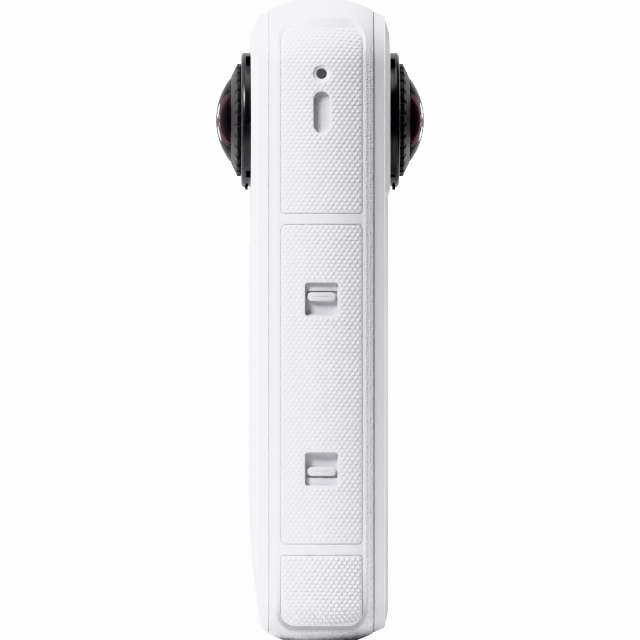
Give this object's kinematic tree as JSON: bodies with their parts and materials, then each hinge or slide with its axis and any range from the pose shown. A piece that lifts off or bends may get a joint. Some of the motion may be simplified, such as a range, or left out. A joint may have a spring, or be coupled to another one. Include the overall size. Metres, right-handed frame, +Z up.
{
  "type": "360 degree camera",
  "caption": "Slim upright pocket camera with a domed fisheye lens on each face, textured side grips, a latched battery door, a hinged port door, a touch screen and a tripod thread.",
  "frame": {"origin": "middle of the flat underside, on which the camera stands", "axes": "+Z up along the body; +X towards the screen side, so the front lens looks along -X; -Y towards the battery side seen in the picture"},
  "size_m": [0.037, 0.0455, 0.1138],
  "materials": {
    "frame_white": "satin moulded white",
    "shell_white": "satin moulded white",
    "grip_white": "fine raised triangular texture",
    "door_white": "fine raised triangular texture",
    "button_white": "satin moulded white",
    "lens_black": "satin black",
    "ring_black": "satin black with a scalloped rim",
    "dome_glass": "polished with a violet coating",
    "lens_glass": "polished with a violet coating",
    "screen_glass": "polished black cover glass",
    "screen_dark": "dark display",
    "chassis_metal": "cast, bead blasted",
    "steel": "plain",
    "mesh_dark": "woven mesh",
    "mesh_light": "fine woven white cloth",
    "brass": "plain",
    "copper": "rolled sheet",
    "board_green": "solder mask",
    "seal_black": "plain",
    "seal_red": "plain",
    "pack_dark": "fine grain",
    "light_pipe": "clear diffuser"
  },
  "bodies": {
    "camera_body": {"mid_frame": "frame_white", "front_shell": "shell_white", "rear_shell": "shell_white", "front_grip": "grip_white", "battery_side_upper_grip": "grip_white", "battery_side_lower_grip": "grip_white", "port_side_upper_grip": "grip_white", "port_side_lower_grip": "grip_white", "front_lens_base": "lens_black", "rear_lens_base": "lens_black", "front_lens_barrel": "lens_black", "rear_lens_barrel": "lens_black", "front_inner_lens": "lens_glass", "rear_inner_lens": "lens_glass", "screen_glass": "screen_glass", "display_panel": "screen_dark", "chassis": "chassis_metal", "shell_screws": "steel", "usb_socket": "steel", "card_socket": "steel", "usb_hinge_pin": "steel", "microphones": "steel", "microphone_meshes": "mesh_dark", "speaker_mesh": "mesh_light", "tripod_insert": "brass", "battery_contacts": "brass", "heat_spreader": "copper", "front_sensor_board": "board_green", "rear_sensor_board": "board_green", "main_board": "board_green", "port_board": "board_green", "rear_key_board": "board_green", "side_key_board": "board_green", "front_shell_seal": "seal_black", "rear_shell_seal": "seal_black", "front_lens_seal": "seal_red", "rear_lens_seal": "seal_red", "speaker": "pack_dark", "status_light": "light_pipe"},
    "battery": {"battery_cover": "door_white", "battery_pack": "pack_dark", "battery_terminals": "brass", "battery_seal": "seal_red", "upper_latch_spring": "steel", "lower_latch_spring": "steel"},
    "upper_latch_slider": {"upper_latch": "door_white"},
    "lower_latch_slider": {"lower_latch": "door_white"},
    "front_lens_cap": {"front_lens_ring": "ring_black", "front_dome": "dome_glass"},
    "rear_lens_cap": {"rear_lens_ring": "ring_black", "rear_dome": "dome_glass"},
    "shutter_key": {"shutter_button": "button_white"},
    "mode_key": {"mode_button": "button_white"},
    "power_key": {"power_button": "button_white"},
    "quick_key": {"quick_button": "button_white"},
    "port_cover": {"usb_door": "door_white", "usb_door_seal": "seal_red"}
  },
  "joints": [
    {"name": "battery_slide", "type": "slide", "parent": "camera_body", "child": "battery", "axis": [0, -1, 0], "range_m": [0, 0.032]},
    {"name": "upper_latch_slide", "type": "slide", "parent": "battery", "child": "upper_latch_slider", "axis": [0, 0, -1], "range_m": [0, 0.0021], "stiffness_N_per_m": 250, "deforming": ["upper_latch_spring"]},
    {"name": "lower_latch_slide", "type": "slide", "parent": "battery", "child": "lower_latch_slider", "axis": [0, 0, 1], "range_m": [0, 0.0021], "stiffness_N_per_m": 250, "deforming": ["lower_latch_spring"]},
    {"name": "front_lens_turn", "type": "hinge", "parent": "camera_body", "child": "front_lens_cap", "pos_m": [0, 0, 0.0923], "axis": [-1, 0, 0], "range_deg": [0, 40]},
    {"name": "rear_lens_turn", "type": "hinge", "parent": "camera_body", "child": "rear_lens_cap", "pos_m": [0, 0, 0.0923], "axis": [1, 0, 0], "range_deg": [0, 40]},
    {"name": "shutter_press", "type": "slide", "parent": "camera_body", "child": "shutter_key", "axis": [-1, 0, 0], "range_m": [0, 0.00035], "stiffness_N_per_m": 1500},
    {"name": "mode_press", "type": "slide", "parent": "camera_body", "child": "mode_key", "axis": [-1, 0, 0], "range_m": [0, 0.00035], "stiffness_N_per_m": 1500},
    {"name": "power_press", "type": "slide", "parent": "camera_body", "child": "power_key", "axis": [0, -1, 0], "range_m": [0, 0.00035], "stiffness_N_per_m": 1500},
    {"name": "quick_press", "type": "slide", "parent": "camera_body", "child": "quick_key", "axis": [0, -1, 0], "range_m": [0, 0.00035], "stiffness_N_per_m": 1500},
    {"name": "usb_door_hinge", "type": "hinge", "parent": "camera_body", "child": "port_cover", "pos_m": [0.00608, 0.02074, 0.04], "axis": [0, 0, -1], "range_deg": [0, 78]}
  ]
}
